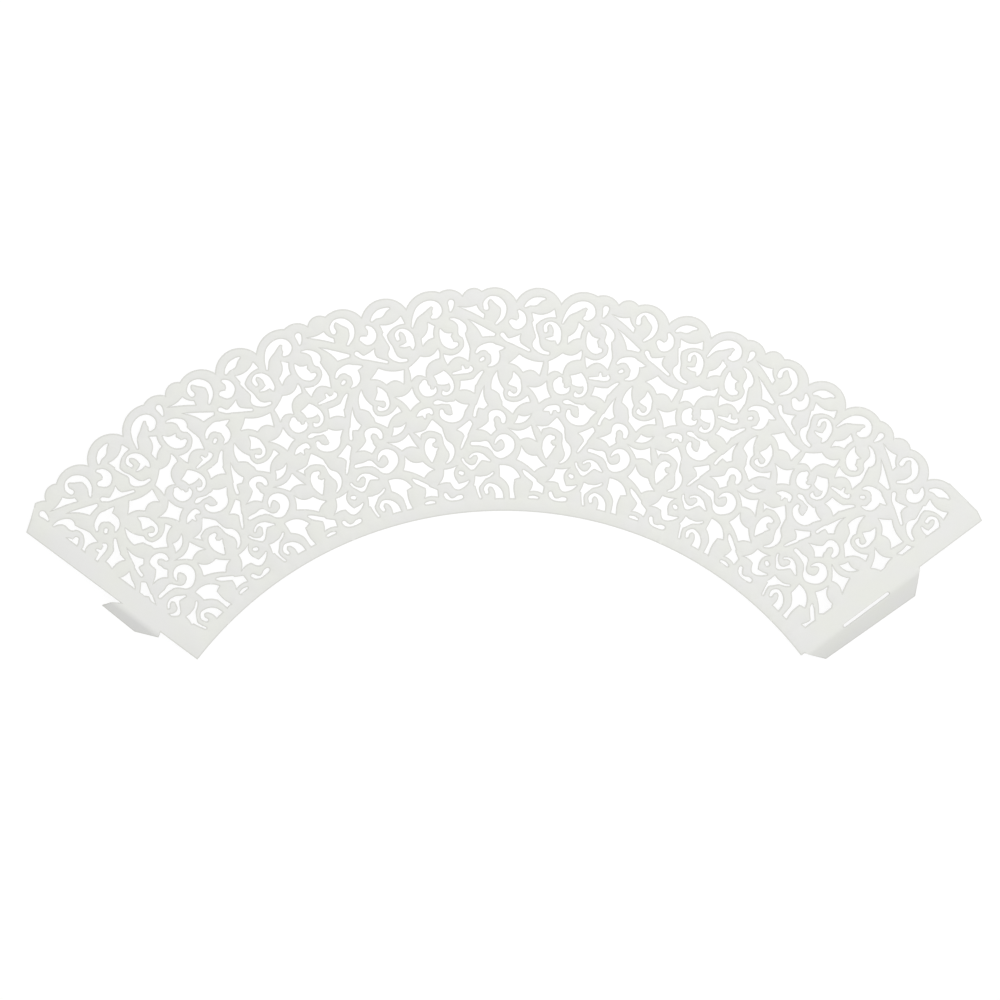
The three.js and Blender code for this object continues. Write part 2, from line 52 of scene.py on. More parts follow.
# %% Empty the default scene
for name in ("Cube", "Light", "Camera"):
    if name in bpy.data.objects:
        bpy.data.objects.remove(bpy.data.objects[name])
scene = bpy.context.scene
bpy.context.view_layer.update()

# %% [markdown]
# The sheet is part of a flat ring. All its lines run to, or round, one point: the fan's centre. So the
# drawing is made round that point, in millimetres, with the fan opening along +Y. The CAD part has its
# origin under its own middle, so the last step of the mesh is one shift by FAN_CENTRE.

# %% Sizes of the sheet, in millimetres
FAN_CENTRE = Vector((-1.2273, -95.5969))
INNER_RADIUS = 87.6
THICKNESS = 0.3
END_ANGLE = math.radians(51.8)
BAND_WIDTH = 2.95
LEFT_MARGIN = 4.4
RIGHT_MARGIN = 4.7
SMALLEST_WINDOW = 1.6
PITCH = math.radians(14.8)
REPEATS_EACH_SIDE = math.ceil(END_ANGLE / PITCH)
BEYOND = 200.0
MM = 0.001
print("The ring turns through", round(math.degrees(2 * END_ANGLE), 1), "degrees")


# %% [markdown]
# Two ways of drawing one cut-out cover the whole lattice. A scroll or a hook is swept: a smooth line
# through a few stations, each with its own width, and a round end. A gap between leaves is bowed: a few
# sharp corners, with each side bowed inward or outward. Both could be Blender curve objects, but plain
# points are easier to join later, and mathutils draws the Bezier pieces for us.

# %% Swept and bowed cut-outs
SPAN_STEPS = 9
CAP_STEPS = 6
TINY_WIDTH = 0.1


def smooth_line(stations):
    """Points on a centripetal Catmull-Rom line through stations of x, y and width."""
    knots = [Vector((x, INNER_RADIUS + y, width)) for x, y, width in stations]
    knots = [2 * knots[0] - knots[1]] + knots + [2 * knots[-1] - knots[-2]]
    line = []
    for before, start, end, after in zip(knots, knots[1:], knots[2:], knots[3:]):
        gap0 = math.sqrt((start - before).length)
        gap1 = math.sqrt((end - start).length)
        gap2 = math.sqrt((after - end).length)
        slope0 = (start - before) / gap0 - (end - before) / (gap0 + gap1) + (end - start) / gap1
        slope1 = (end - start) / gap1 - (after - start) / (gap1 + gap2) + (after - end) / gap2
        handle0 = start + slope0 * gap1 / 3
        handle1 = end - slope1 * gap1 / 3
        line += interpolate_bezier(start, handle0, handle1, end, SPAN_STEPS + 1)[:-1]
    return line + [knots[-2]]


def sweep(*stations):
    """Outline of a cut-out of changing width along a smooth line."""
    line = smooth_line(stations)
    left, right, caps = [], [], []
    for i, at in enumerate(line):
        along = (line[min(i + 1, len(line) - 1)] - line[max(i - 1, 0)]).to_2d().normalized()
        across = Vector((-along.y, along.x)) * max(at.z, TINY_WIDTH) / 2
        left.append(at.to_2d() + across)
        right.append(at.to_2d() - across)
        if i in (0, len(line) - 1):
            side = across if i else -across
            caps.append([at.to_2d() + Matrix.Rotation(-math.pi * s / CAP_STEPS, 2) @ side
                         for s in range(1, CAP_STEPS)])
    return caps[0] + left + caps[1] + right[::-1]


def bowed(*corners):
    """Outline with sharp corners: x, y and how far the next side bows into the cut-out."""
    outline = []
    for (x, y, bow), (next_x, next_y, _) in zip(corners, corners[1:] + corners[:1]):
        start = Vector((x, INNER_RADIUS + y))
        end = Vector((next_x, INNER_RADIUS + next_y))
        inward = Vector((end.y - start.y, start.x - end.x)).normalized()
        peak = (start + end) / 2 + inward * 2 * bow
        handles = start.lerp(peak, 2 / 3), end.lerp(peak, 2 / 3)
        outline += [p.to_2d() for p in interpolate_bezier(start, *handles, end, SPAN_STEPS + 1)[:-1]]
    return outline


WINDOWS = [
    # Hook round the curl of the second lobe
    sweep((-4.2, 46.4, 1.1), (-4.35, 47.5, 0.9), (-3.4, 48.65, 0.55), (-1.7, 48.05, 1.55),
          (-0.3, 46.5, 1.25), (-0.55, 44.4, 0.95), (-1.85, 42.8, 0.4)),
    # Arched gap of the third lobe and the hook between the two lobes
    sweep((4.7, 46.75, 0.5), (5.5, 47.4, 1.1), (6.8, 47.8, 1.75), (8.1, 48.3, 0.9), (8.95, 48.4, 0.35)),
    sweep((3.25, 45.6, 0.6), (3.9, 44.7, 1.3), (3.85, 43.3, 1.95), (2.8, 42.55, 2.05),
          (1.6, 43.2, 1.2)),
    # Gull over the round scroll, with its long leg
    bowed((6.2, 45.2, 0.75), (11.15, 45.95, 0), (11.55, 44.2, 0.75), (6.8, 42.3, 0)),
    sweep((6.65, 43, 0.8), (6.9, 41.4, 0.4), (7.4, 39.7, 0.6), (7.15, 38.1, 1.6), (7.7, 37.1, 1.2),
          (8.7, 36.35, 0.85), (9.9, 36.05, 0.6)),
    sweep((9.3, 41.2, 0.75), (9.25, 42.2, 0.8), (10.1, 42.95, 0.55), (11.15, 42.5, 1),
          (11.85, 41.3, 1.5), (11.9, 40.1, 1.7), (12.1, 39, 1.1), (12, 38.3, 0.4)),
    sweep((11.6, 39.6, 1.2), (10.4, 39.35, 0.7), (9.4, 39.45, 0.2)),
    # Ring round the curl of the widest lobe
    sweep((13.1, 43, 0.3), (14.2, 45, 0.95), (15.7, 46.25, 1.9), (17.2, 46.95, 1.75),
          (18.5, 47.05, 1.3), (19.4, 46.3, 1.5), (19.35, 45.1, 2.1), (18.7, 44.25, 1.6),
          (18.1, 44, 0.8)),
    # Bud of the first lobe
    sweep((-12.1, 47.5, 1.35), (-12.05, 46.6, 0.95), (-12.2, 45.7, 0.4)),
    # Slivers beside the upper stem
    bowed((-10.3, 46.6, 0.35), (-6.4, 46.95, 0.25), (-4.65, 44.95, 0), (-4.7, 44, 0.15)),
    bowed((-8.1, 43.7, -0.05), (-2.05, 40.5, 0), (-2.3, 40, 0.05), (-4.95, 39.85, 0.35)),
    sweep((-0.45, 40.3, 0.95), (0.6, 39.2, 0.75), (2, 38.75, 1), (3.2, 38.1, 0.9), (4.4, 37.4, 0.65),
          (5.6, 36.75, 0.5)),
    bowed((1.1, 39.45, 0.1), (3.6, 40.35, 0.4), (4, 37.9, 0), (1.4, 38.6, 0)),
    # Sickle behind the left leaf, with its foot
    sweep((21.8, 42.6, 0.25), (22.7, 42.15, 0.65), (23.6, 41.1, 1.2), (23.9, 39.9, 1.85),
          (23.5, 38.8, 1.5), (23.75, 37.9, 0.7), (23.85, 37, 0.6), (23.8, 35.9, 1), (23.6, 35, 1.4)),
    bowed((18.35, 35.2, 1.15), (23.4, 36, 0), (24.35, 35, 0), (23.4, 32.4, 1.35), (18.7, 32.75, -0.1)),
    # Leaf gap and crescent of the widest lobe
    bowed((16.7, 43, 0), (17.9, 41.9, 0.2), (17.1, 39.5, 0.35), (14.35, 38.3, 0), (14.4, 39.85, 0.6)),
    sweep((19, 40.8, 0.3), (19.15, 39.7, 1.3), (19.6, 38.6, 2.3), (20, 37.6, 2.3), (20.7, 36.8, 1.8),
          (21.6, 36.7, 1)),
    bowed((19.3, 40.3, 0.2), (21.35, 39.35, 0.1), (20.6, 38.2, 0), (19, 38.5, 0)),
    # Long star under the main stem
    bowed((10, 34.2, 0.15), (13.15, 36.05, 0.85), (17.4, 36.7, -0.2), (17.15, 34.6, 1.2),
          (13.2, 31.3, 0.8), (9.9, 31.3, 0.15)),
    bowed((1.2, 33.9, 0.1), (3.4, 35.8, 0.5), (8.8, 34.05, 0), (8, 31.1, 0.85), (4.3, 31.85, 0.45)),
    # Arch over the curl at the left, and its eye
    sweep((-6.2, 36.3, 0.5), (-5.6, 37.05, 0.9), (-4.4, 37.5, 1.4), (-2.9, 37.2, 2.4),
          (-2.05, 35.9, 1.9), (-2.05, 34.6, 1.7), (-2.6, 33.65, 0.9), (-3.5, 33.2, 0.25)),
    sweep((-2.6, 37.3, 1.8), (-1.1, 37.25, 1.1), (-0.1, 37.3, 0.2)),
    sweep((-5.2, 34.55, 0.6), (-4.8, 34.85, 0.75)),
    # Drop round the middle curl
    sweep((2.2, 31.7, 0.2), (2.6, 30.5, 1.5), (2.8, 29.5, 2.1), (3.4, 28.5, 1.05), (3.45, 27.5, 0.75),
          (2.9, 26.7, 0.65), (2.1, 26.55, 0.65), (1.4, 26.9, 0.95), (1.3, 27.3, 0.5)),
    bowed((0.95, 29.1, 0), (2, 30.7, 0), (3.4, 29.5, 0), (3.1, 28.4, -0.1)),
    # Star, crescent and ring in the middle
    bowed((5.5, 28.5, 0.7), (9.6, 29.6, 0.3), (10.55, 26.1, 0.2), (8, 24.75, 0.35)),
    sweep((12.6, 30.1, 1.2), (12.3, 29.2, 2.3), (12.6, 28.05, 2.3), (13.5, 27.5, 1.5),
          (14.4, 27.7, 0.9), (14.75, 28.3, 0.25)),
    bowed((15, 31, 0.1), (17.4, 31.6, -0.15), (18.6, 29.6, 0), (17.7, 28.5, -0.2), (15.4, 29.05, 0.15)),
    sweep((18, 29.9, 1), (18.4, 28.7, 0.9), (18.4, 27.5, 0.75), (17.8, 26.65, 0.65), (17, 26.35, 0.65),
          (16.3, 26.6, 0.9), (16.2, 27.1, 0.35)),
    # Deep hook at the right, with its long tip
    sweep((14.75, 22.8, 0.8), (14.75, 21.9, 1.2), (15.5, 20.95, 1.4), (16.7, 20.5, 1.7),
          (17.9, 20.9, 2.4), (18.4, 22.1, 2.7), (17.9, 23.3, 2), (17.1, 24.05, 0.6)),
    bowed((18.3, 24.5, 0.35), (21, 22.7, 0.05), (18.6, 20.2, 0), (17.3, 22.5, 0)),
    sweep((17.2, 24.1, 0.55), (16.2, 24.3, 0.4), (15.2, 24.75, 0.6), (14.4, 24.95, 1), (13.8, 25, 0.7)),
    # Flag and swan beside the left stem
    bowed((-9.75, 29.8, 0.15), (-6.4, 30.4, 0), (-6.65, 27.1, 0.4), (-9.95, 27.75, 0.1)),
    sweep((-6.7, 29.4, 1.2), (-5.95, 30.6, 0.9), (-5.25, 31.5, 0.65), (-4.9, 31.9, 0.4)),
    sweep((-11.4, 31.45, 0.4), (-10.3, 31.7, 0.65), (-9.1, 31.95, 0.9), (-8.1, 32.1, 0.9),
          (-7.45, 32.5, 0.9), (-7.55, 32.95, 0.5)),
    sweep((-9.1, 32.2, 0.8), (-9.35, 33.1, 0.4)),
    # Sail and the star that hangs from it
    bowed((-1.55, 32, 0.4), (0, 27.9, 0.1), (-0.2, 26, 0.25), (-2.75, 28, -0.45)),
    sweep((-0.6, 27, 0.8), (-0.25, 25.9, 0.7), (0.3, 25, 0.8)),
    bowed((-0.3, 25.9, 1.2), (5.4, 26.4, 0), (5.95, 25.05, 0.7), (2.1, 22.35, 0.05), (-0.2, 24.2, 0)),
    # Sliver at the left stem
    bowed((-4.5, 28.5, 0.5), (-3.6, 24.3, 0), (-4.5, 23.45, 0.1), (-6.2, 23.7, -0.1)),
    sweep((-5.95, 24.1, 0.7), (-6.35, 22.9, 0.6), (-6.5, 21.9, 0.6)),
    # Cane-shaped gap
    sweep((0, 20.6, 0.9), (-0.05, 21.4, 1.15), (-0.6, 22.15, 1.3), (-1.55, 22.5, 1.3),
          (-2.5, 22.1, 1.6), (-2.75, 21, 1.05), (-2.7, 20, 1.4)),
    bowed((-3.1, 20.8, 0), (-2.2, 20.4, 0.15), (-1.6, 18.7, 0), (-2.8, 17.5, 0.45),
          (-5.9, 18.75, 0.25)),
    # Boat and the gull under it
    bowed((2.55, 20.15, 0.15), (3.4, 22, 0.4), (6.2, 22.15, -0.75)),
    bowed((1.2, 18.95, 0.85), (6.25, 19.6, 0.1), (7.5, 16.1, 0.6), (3.9, 16.4, 0.2)),
    # Cap over the bean, and the stroke down its right side
    bowed((7.6, 19.55, 0.05), (9.6, 19.35, 0.25), (8.6, 18, 0.1)),
    sweep((8.9, 19.15, 0.5), (9.9, 19.3, 0.35), (10.9, 19.55, 0.5)),
    bowed((10, 19.35, 0), (12.15, 21.4, -0.1), (13.85, 18.9, 0), (13.8, 17.2, 0.5)),
    sweep((13.65, 17.8, 0.5), (13.75, 16.6, 0.45), (13.9, 15.6, 0.95), (14.45, 14.5, 1.55),
          (14.7, 13.4, 1.3), (14.4, 12.3, 0.9), (13.8, 11.5, 0.6), (13, 11, 0.3)),
    sweep((9.2, 23.1, 0.3), (10.1, 23.45, 1.1), (11.1, 23.65, 1.2), (12.1, 23.6, 1.1),
          (12.45, 22.95, 0.65)),
    sweep((10.75, 23.3, 1), (10.75, 22.3, 0.3)),
    # Bean
    sweep((11.3, 16.8, 0.95), (10.5, 16.7, 1.5), (9.9, 15.7, 1.7), (10.1, 14.4, 2.4), (9.95, 13.2, 1.5),
          (9.85, 12.2, 0.35)),
    bowed((9.3, 15.2, 0), (11.9, 14.9, 0.05), (10.2, 12.6, 0)),
    # Long star at the right of the lower scroll
    bowed((4.2, 14.75, 0.75), (7.7, 12.65, 0.15), (9.75, 10.3, 0.3), (7.2, 9.05, 0.25),
          (3.15, 11.9, 0.2)),
    # Arrowhead beside the left stem
    bowed((-10.4, 18.65, 0.05), (-7.65, 20.8, -0.05), (-7, 20, 0.05), (-8.5, 16.3, 0.55)),
    sweep((-8.35, 17.2, 0.65), (-8.85, 16, 0.55), (-9.3, 14.8, 0.45), (-9.45, 14.45, 0.25)),
    # Lower scroll with the bar behind it
    sweep((-1.8, 15.55, 0.25), (-1.25, 16.5, 0.75), (-0.45, 17, 1.05), (0.55, 16.75, 1.65),
          (1.4, 15.7, 2.15), (1.4, 14.5, 2.1), (0.6, 13.45, 1.75), (-0.5, 12.95, 1.65),
          (-1.5, 13.15, 1), (-2.3, 13.85, 0.4), (-3.1, 14.8, 0.7), (-3.9, 15.4, 1.3),
          (-5.2, 15.45, 0.8), (-6.2, 15.5, 0.8), (-6.95, 15.5, 0.75)),
    # Wave under the bar
    sweep((-7.45, 12.35, 0.4), (-6.8, 12.95, 0.45), (-5.9, 13.15, 0.6), (-4.9, 12.5, 1.35),
          (-3.9, 12, 0.8), (-3, 11.55, 0.3)),
    sweep((-9.1, 11.9, 0.4), (-8.7, 11.2, 0.4), (-7.9, 10.5, 0.5), (-6.95, 10, 1), (-6, 10.6, 0.5),
          (-5.5, 11.4, 0.65), (-5, 12.2, 1.1)),
    # Foot: arch, gull, mushroom, slivers and hooks over the band
    sweep((-3.5, 4.2, 0.65), (-3.75, 5.1, 0.85), (-3.1, 5.95, 0.75), (-2.2, 5.85, 0.75),
          (-1.4, 5.25, 1.15), (-0.8, 4.2, 1.55), (-0.65, 2.9, 1.8)),
    bowed((-6.15, 8.05, 0.1), (-3.6, 7.85, 0), (-5.3, 5.5, 0), (-6.45, 5.9, 0.1)),
    sweep((-4.7, 7.5, 0.9), (-3.5, 7.85, 0.5), (-2.7, 8.3, 0.45), (-2.2, 8.75, 0.35)),
    sweep((-5.7, 6, 0.9), (-5.6, 5, 0.5), (-5.35, 4.1, 0.4), (-4.95, 3.1, 0.4)),
    bowed((-0.75, 10.5, -1.0), (3.95, 7.7, 0.05), (2.5, 7.2, 0), (1.6, 5.4, 0.3), (-0.6, 7.9, 0.05)),
    sweep((1.9, 7, 1.5), (2, 5.6, 0.95), (2.1, 4.4, 0.85), (2.3, 2.9, 1.1)),
    sweep((4.7, 9.25, 0.35), (5.3, 8.6, 0.85), (6.3, 7.75, 0.9), (7.3, 6.9, 0.9)),
    bowed((6.9, 7.4, 0), (9.35, 5.5, 0), (9.1, 4, 0.3), (6.25, 4.5, 0.3)),
    sweep((6.2, 3.15, 0.5), (7.1, 3.15, 0.65), (8, 2.95, 0.4)),
    bowed((10, 6.7, 0.45), (12, 9.65, 0.2), (15, 9.75, 0.6), (14, 6.7, 0), (12.9, 6.3, 0.3)),
    sweep((13.2, 7.2, 1.2), (13.55, 5.95, 1.4), (14, 5.1, 1.35), (15, 5.1, 1.1), (16, 5.35, 0.65),
          (16.7, 5.7, 0.25)),
    sweep((15.35, 8.05, 0.75), (15.7, 7.8, 0.85)),
    sweep((10.9, 4, 0.8), (11.15, 3.3, 0.8), (11.8, 2.65, 0.5), (12.7, 2.5, 0.6), (13.5, 2.6, 1),
          (14.15, 2.6, 0.9)),
]
print("Cut-outs in one repeat:", len(WINDOWS))


# %% [markdown]
# No cutter leaves knife-sharp corners where two cuts meet, and neither do the joined outlines here
# when they are softened. Each loop is laid out at even steps, relaxed a few times with Taubin's pair of
# weights, which rounds corners without shrinking the whole, and thinned again where it runs nearly
# straight. A bevel could round the corners too, but it can't smooth a kink in the middle of a curve.

# %% Joining and softening outlines
STEP = 0.12
SOFTENING = (0.5, -0.52) * 4
CURVE_SAG = 0.012
BORDER_SAG = CURVE_SAG / 4
SAME_PLACE = 1e-5
NO_LENGTH = 1e-9
INSIDE_ONLY = 1


def joined(outlines, extra_lines=()):
    """Points and triangles of the plane inside these outlines, and the outlines that hold each one."""
    points, loops, edges = [], [], []
    for outline in outlines:
        area = sum(a.cross(b) for a, b in zip(outline, outline[1:] + outline[:1]))
        loops.append([len(points) + i for i in range(len(outline))][:: 1 if area > 0 else -1])
        points += outline
    for line in extra_lines:
        numbers = [len(points) + i for i in range(len(line))]
        edges += zip(numbers, numbers[1:] + numbers[:1])
        points += line
    points, _, triangles, _, _, owners = delaunay_2d_cdt(points, edges, loops, INSIDE_ONLY, SAME_PLACE)
    return points, triangles, owners


def border(triangles):
    """Loops of point numbers round a set of triangles."""
    sides = {(t[i - 1], t[i]): True for t in triangles for i in range(3)}
    onward = {}
    for start, end in sides:
        if (end, start) not in sides:
            onward.setdefault(start, []).append(end)
    loops = []
    while onward:
        loop = [next(iter(onward))]
        while len(loop) == 1 or loop[-1] != loop[0]:
            ways = onward[loop[-1]]
            here = ways.pop()
            if not ways:
                del onward[loop[-1]]
            loop.append(here)
        loops.append(loop[:-1])
    return loops


def softened(loop):
    """The outline at even steps, with its corners and kinks relaxed."""
    points = []
    for start, end in zip(loop, loop[1:] + loop[:1]):
        count = max(1, round((end - start).length / STEP))
        points += [start.lerp(end, i / count) for i in range(count)]
    for weight in SOFTENING:
        points = [p + weight * ((points[i - 1] + points[(i + 1) % len(points)]) / 2 - p)
                  for i, p in enumerate(points)]
    return points


def thinned(points, sag):
    """Keeps a point only where leaving it out would move the line by more than the sag."""
    far = max(range(len(points)), key=lambda i: (points[i] - points[0]).length)
    keep = {0, far}
    spans = [(0, far), (far, len(points))]
    while spans:
        start, end = spans.pop()
        chord = points[end % len(points)] - points[start]
        length = max(chord.length, NO_LENGTH)
        offs = [(abs(chord.cross(points[i] - points[start])) / length, i) for i in range(start + 1, end)]
        off, worst = max(offs, default=(0, 0))
        if off > sag:
            keep.add(worst)
            spans += [(start, worst), (worst, end)]
    return [points[i] for i in sorted(keep)]


points, triangles, owners = joined(WINDOWS)
window_loops = [[points[i] for i in loop] for loop in border(triangles)]
window_loops = [thinned(softened(loop), CURVE_SAG) for loop in window_loops]
print(len(WINDOWS), "cut-outs join into", len(window_loops), "windows with",
      sum(map(len, window_loops)), "points")


# %% [markdown]
# The outer edge is a row of round lobes. Each is one arc through a start, a top and the next start, which
# is how a die maker would draw it. The arcs of all the repeats follow each other round the fan.

# %% Lobes of the scalloped edge
LOBES = [
    ((-14.7, 49.85), (-12.4, 50.5)),
    ((-9.55, 49.2), (-7.1, 50.85)),
    ((-5.2, 50.2), (-2, 51)),
    ((2.6, 48.05), (7.4, 50.9)),
    ((12.75, 47.4), (16.9, 49.9)),
]


def turned(point, angle):
    """A point moved clockwise round the fan's centre."""
    return Matrix.Rotation(-angle, 2) @ point


def arc_through(start, top, end):
    """Points of the arc from start over top, without the end."""
    (ax, ay), (bx, by), (cx, cy) = start, top, end
    turn = 2 * (ax * (by - cy) + bx * (cy - ay) + cx * (ay - by))
    squares = start.length_squared, top.length_squared, end.length_squared
    centre = Vector((squares[0] * (by - cy) + squares[1] * (cy - ay) + squares[2] * (ay - by),
                     squares[0] * (cx - bx) + squares[1] * (ax - cx) + squares[2] * (bx - ax))) / turn
    whole = (start - centre).angle_signed(end - centre) % (2 * math.pi)
    radius = (start - centre).length
    count = math.ceil(whole / (2 * math.acos(1 - CURVE_SAG / radius)))
    return [centre + Matrix.Rotation(-whole * i / count, 2) @ (start - centre) for i in range(count)]


scallops = []
for k in range(-REPEATS_EACH_SIDE, REPEATS_EACH_SIDE + 1):
    marks = [Vector((x, INNER_RADIUS + y)) for lobe in LOBES for x, y in lobe]
    marks.append(turned(marks[0], PITCH))
    marks = [turned(mark, k * PITCH) for mark in marks]
    for start, top, end in zip(marks[::2], marks[1::2], marks[2::2]):
        scallops += arc_through(start, top, end)
print("Scalloped edge:", len(scallops), "points")

# %% [markdown]
# The rest of the sheet is a few plain shapes beside the end lines. A place there is given by its distance
# along the end line from the inner edge and its distance out from the line. The flap at the right has a
# slot for the tab at the left, and both are wider than they look, because they slope away under the card.
# The slot is 0.2 mm wider than the CAD model's and 0.3 mm nearer the fold, as the photograph shows it.

# %% Ends, corners, tab, flap and slot
LEFT_CORNER_OFF = [(48.1, 0.5), (49.3, -2.9), (50.4, -5.6), (51.6, -8), (54.4, 0.5)]
RIGHT_CORNER_FILL = [(46.4, -12), (50.7, -11.2), (51.3, -6.8), (51.9, -2.4), (51.4, 0), (46.4, 0)]
TAB_OUTLINE = [(10.5, 0), (10.1, 1.3), (14.8, 4.1), (24.4, 3.6), (23.4, 1.2), (21.7, 0)]
FLAP_OUTLINE = [(1, 0), (4, 5.1), (29, 6), (33.8, 0)]
SLOT_START = 11.8
SLOT_END = 24.6
SLOT_WIDTH = 0.8
SLOT_OFFSET = 0.1
HINGE_OVERLAP = 1.0
ARC_STEP = math.radians(0.4)


def beside_end(side, along, out):
    """Point beside the left (-1) or right (1) end line."""
    ray = Vector((side * math.sin(END_ANGLE), math.cos(END_ANGLE)))
    outward = Vector((side * math.cos(END_ANGLE), -math.sin(END_ANGLE)))
    return ray * (INNER_RADIUS + along) + outward * out


def sector(inner, outer):
    """Ring piece between the two end lines."""
    count = math.ceil(2 * END_ANGLE / ARC_STEP)
    angles = [-END_ANGLE + 2 * END_ANGLE * i / count for i in range(count + 1)]
    ring = [turned(Vector((0, inner)), angle) for angle in angles]
    return ring + [turned(Vector((0, outer)), angle) for angle in reversed(angles)]


def margin(side, width):
    """Plain strip along an end line, where the lattice stops."""
    return [beside_end(side, along, out) for along, out in
            ((-INNER_RADIUS / 2, 0), (BEYOND, 0), (BEYOND, -width), (-INNER_RADIUS / 2, -width))]


def hinged(side, outline):
    """Tab or flap with a strip that laps the end line."""
    lap = [(outline[-1][0], -HINGE_OVERLAP), (outline[0][0], -HINGE_OVERLAP)]
    return [beside_end(side, along, out) for along, out in outline + lap]


def slot_outline():
    """Straight slit with round ends."""
    half = SLOT_WIDTH / 2
    outline = []
    for along, first in ((SLOT_END - half, 0), (SLOT_START + half, math.pi)):
        for i in range(2 * CAP_STEPS + 1):
            turn = first + math.pi * i / (2 * CAP_STEPS)
            outline.append(beside_end(1, along + half * math.sin(turn),
                                      SLOT_OFFSET + half + half * math.cos(turn)))
    return outline


shapes = {
    "disc": [scallops + [Vector((0, 0))]],
    "sector": [sector(INNER_RADIUS, BEYOND)],
    "corner fill": [[beside_end(1, *place) for place in RIGHT_CORNER_FILL]],
    "corner off": [[beside_end(-1, *place) for place in LEFT_CORNER_OFF]],
    "hinged": [hinged(-1, TAB_OUTLINE), hinged(1, FLAP_OUTLINE)],
    "slot": [slot_outline()],
    "plain": [sector(INNER_RADIUS - 1, INNER_RADIUS + BAND_WIDTH),
              margin(-1, LEFT_MARGIN), margin(1, RIGHT_MARGIN)],
    "window": [[turned(p, k * PITCH) for p in loop] for loop in window_loops
               for k in range(-REPEATS_EACH_SIDE, REPEATS_EACH_SIDE + 1)],
}
print({kind: len(outlines) for kind, outlines in shapes.items()})

# %% [markdown]
# Now the sheet is cut. In three dimensions this would be a boolean with over six hundred cutters, which
# is slow and breaks easily on card this thin. In the plane it is one constrained triangulation of every
# outline at once, which also says which shapes hold each triangle. What stays is card, by the same rule
# as in the CAD model: the disc within the sector, less its corner and its windows, plus the hinged ends.

# %% Cut the sheet in the plane
def area_of(triangle):
    """Area of a triangle of point numbers."""
    a, b, c = (points[i] for i in triangle)
    return (b - a).cross(c - a) / 2


kinds = [kind for kind, outlines in shapes.items() for _ in outlines]
points, triangles, owners = joined([outline for outlines in shapes.values() for outline in outlines])
card, hole, plain = [], [], set()
for triangle, numbers in zip(triangles, owners):
    inside = {kinds[i] for i in numbers}
    fan = "sector" in inside and bool(inside & {"disc", "corner fill"})
    sheet = fan and "corner off" not in inside
    if "slot" in inside or not (sheet or "hinged" in inside):
        continue
    if "window" in inside and not inside & {"plain", "hinged"}:
        hole.append(triangle)
    else:
        card.append(triangle)
        plain.update(triangle if inside & {"plain", "hinged"} else ())
print(len(card), "triangles of card,", len(hole), "of holes")

# %% [markdown]
# Where the plain margins cross a window they can leave a sliver that no cutter would bother with. Each
# such scrap is found by walking from triangle to triangle, and filled if it is small and lies against a
# margin.

# %% Fill the slivers beside the margins
by_side = {}
for number, triangle in enumerate(hole):
    for i in range(3):
        by_side.setdefault(frozenset((triangle[i - 1], triangle[i])), []).append(number)
seen = set()
filled = 0
for first in range(len(hole)):
    if first in seen:
        continue
    seen.add(first)
    patch = [first]
    for number in patch:
        triangle = hole[number]
        for i in range(3):
            for other in by_side[frozenset((triangle[i - 1], triangle[i]))]:
                if other not in seen:
                    seen.add(other)
                    patch.append(other)
    at_margin = any(v in plain for number in patch for v in hole[number])
    if at_margin and sum(area_of(hole[number]) for number in patch) < SMALLEST_WINDOW:
        card += [hole[number] for number in patch]
        filled += 1
print("Slivers filled:", filled)

# %% [markdown]
# The photograph shows a thin grey line along every cut. It is made here as a narrow slope, where the
# upper edge turns down to the wall, and the slope and wall get a darker colour, partly painted shade.
# A bevel or an inset of the finished mesh would fold over itself at the tightest curls, so the line
# where the slope begins is drawn in the plane too: each border loop, set in by the slope's width. Then
# the sheet is triangulated once more with those lines in it.

# %% Lines where the pressed edge begins
EDGE_WIDTH = 0.3
EDGE_DROP = 0.11
CORNER_LIMIT = 0.5


def set_in(loop, width):
    """The loop moved to its left, with its corners kept short."""
    moved = []
    for i, point in enumerate(loop):
        before = (point - loop[i - 1]).normalized()
        after = (loop[(i + 1) % len(loop)] - point).normalized()
        left = Vector((-before.y - after.y, before.x + after.x)).normalized()
        moved.append(point + left * width / max(CORNER_LIMIT, left.dot(Vector((-after.y, after.x)))))
    return moved


outlines = [thinned([points[i] for i in loop], BORDER_SAG) for loop in border(card)]
holes = {n for n, outline in enumerate(outlines)
         if sum(a.cross(b) for a, b in zip(outline, outline[1:] + outline[:1])) < 0}
points, triangles, owners = joined(outlines, [set_in(outline, EDGE_WIDTH) for outline in outlines])
card = [triangle for triangle, numbers in zip(triangles, owners) if numbers and not holes & set(numbers)]
print(len(outlines), "outlines,", len(holes), "of them holes,", len(card), "triangles")

# %% [markdown]
# The flat cut sheet becomes a bmesh, and bmesh operators do the rest. The card will rise towards its ends
# along lines that run to the fan's centre, and bend along lines beside the end line, so bisect_plane
# first lays edges there. Then the sheet is extruded by its thickness, and the rim of its top is pressed
# down. The walls and the pressed rim get the number of a second material, whose darker colour is partly
# the card's bare core and partly painted shade along every cut.

# %% Sheet with thickness and pressed edges
FLAT_ANGLE = math.radians(20)
RISE_STEPS = 14
BEND_RADIUS = 1.75
BEND_STEPS = 8
BEND_REACH = 0.5
COATED = 0
# Number of the second material: the core at the cuts, with painted shade in its colour.
CORE_WITH_PAINTED_SHADE = 1

card_mesh = bmesh.new()
numbers = sorted({i for triangle in card for i in triangle})
corner = {i: card_mesh.verts.new((*points[i], 0)) for i in numbers}
for triangle in card:
    card_mesh.faces.new([corner[i] for i in triangle])


def lay_edge(place, across, reach):
    """Cuts the faces near a place along the line through it, square to across."""
    near = [f for f in card_mesh.faces if reach(f.calc_center_median())]
    edges = list({e for f in near for e in f.edges})
    corners = list({v for f in near for v in f.verts})
    bmesh.ops.bisect_plane(card_mesh, geom=near + edges + corners, dist=SAME_PLACE,
                           plane_co=place, plane_no=across)


def out_from_end(side, x, y):
    """Distance of a place out from an end line."""
    return side * x * math.cos(END_ANGLE) - y * math.sin(END_ANGLE)


